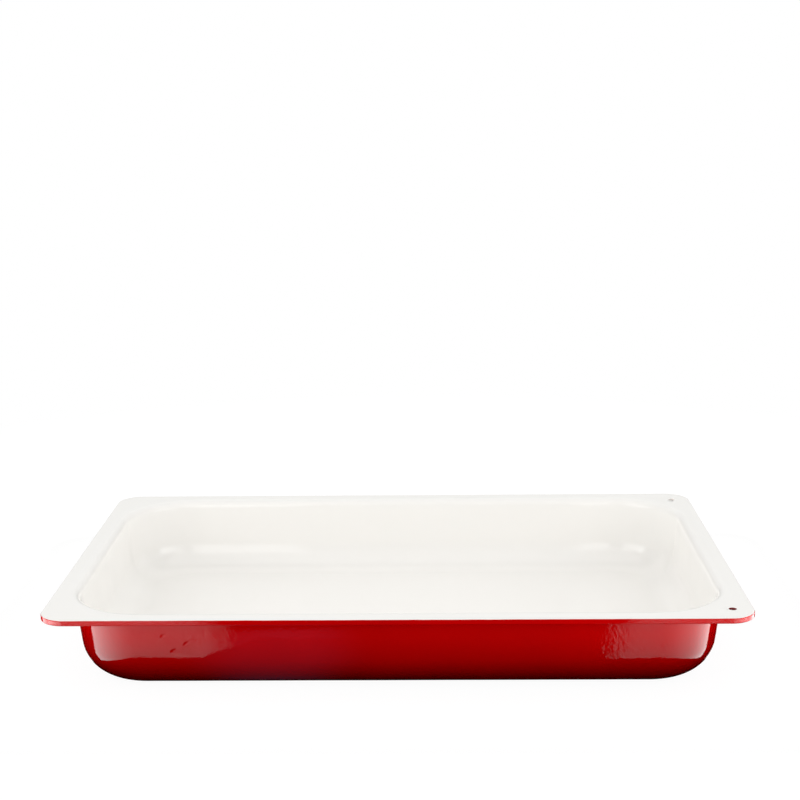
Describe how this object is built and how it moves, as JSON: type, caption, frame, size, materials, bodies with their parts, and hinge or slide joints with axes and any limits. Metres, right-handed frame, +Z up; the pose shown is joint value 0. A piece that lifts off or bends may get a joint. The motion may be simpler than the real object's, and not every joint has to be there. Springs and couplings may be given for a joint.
{
  "type": "gastronorm pan",
  "caption": "Shallow rectangular cooking pan with a flat rim, drafted walls and a curved foot: an iron casting with a white enamel basin and a red enamel outside.",
  "frame": {"origin": "middle of the base, on the surface that the pan stands on", "axes": "+X along the pan towards the end with the hanging holes, +Y across it, +Z up"},
  "size_m": [0.53, 0.325, 0.065],
  "materials": {
    "grey_cast_iron": "as cast",
    "ground_enamel": "fired, dark",
    "white_enamel": "glossy, warm white",
    "red_enamel": "glossy, cherry red"
  },
  "bodies": {
    "root": {"cast_iron_body": "grey_cast_iron", "inner_ground_coat": "ground_enamel", "outer_ground_coat": "ground_enamel", "white_enamel_lining": "white_enamel", "red_enamel_shell": "red_enamel"}
  },
  "joints": []
}
